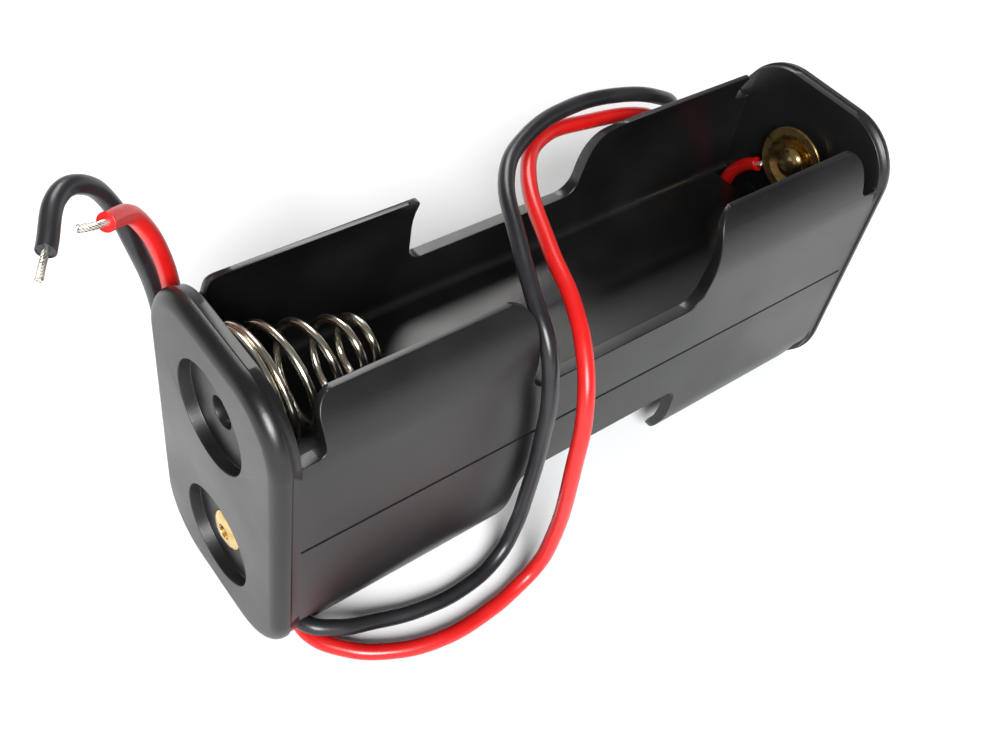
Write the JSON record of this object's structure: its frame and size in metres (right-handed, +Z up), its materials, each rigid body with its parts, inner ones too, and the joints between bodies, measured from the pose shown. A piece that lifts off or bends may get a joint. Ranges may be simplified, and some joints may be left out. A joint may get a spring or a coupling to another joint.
{
  "type": "cylindrical cell holder",
  "caption": "Open-sided holder for cylindrical cells back to back in series, with conical springs, riveted contacts and flying leads.",
  "frame": {"origin": "middle of the footprint, on the surface that the holder stands on", "axes": "+X along the cells, away from the upper cell's spring; +Z up, out of the upper cell's bay; +Y towards the side where the leads come out"},
  "size_m": [0.0688, 0.0284, 0.0348],
  "materials": {
    "black_moulding": "satin black moulding",
    "nickel_plate": "nickel-plated spring wire",
    "brass": "polished brass",
    "red_insulation": "soft red insulation",
    "black_insulation": "soft black insulation",
    "tinned_copper": "tinned strands and solder"
  },
  "bodies": {
    "holder": {"holder_body": "black_moulding", "upper_contact_washer": "brass", "lower_contact_washer": "brass", "upper_contact_rivet": "brass", "lower_contact_rivet": "brass", "red_lead": "red_insulation", "black_lead": "black_insulation", "red_lead_joint": "tinned_copper", "black_lead_joint": "tinned_copper", "red_lead_tip": "tinned_copper", "black_lead_tip": "tinned_copper"},
    "upper_spring_coil": {"upper_spring": "nickel_plate"},
    "lower_spring_coil": {"lower_spring": "nickel_plate"}
  },
  "joints": [
    {"name": "upper_spring_travel", "type": "slide", "parent": "holder", "child": "upper_spring_coil", "axis": [-1, 0, 0], "range_m": [0, 0.0055], "stiffness_N_per_m": 500, "deforming": ["upper_spring"]},
    {"name": "lower_spring_travel", "type": "slide", "parent": "holder", "child": "lower_spring_coil", "axis": [1, 0, 0], "range_m": [0, 0.0055], "stiffness_N_per_m": 500, "deforming": ["lower_spring"]}
  ]
}
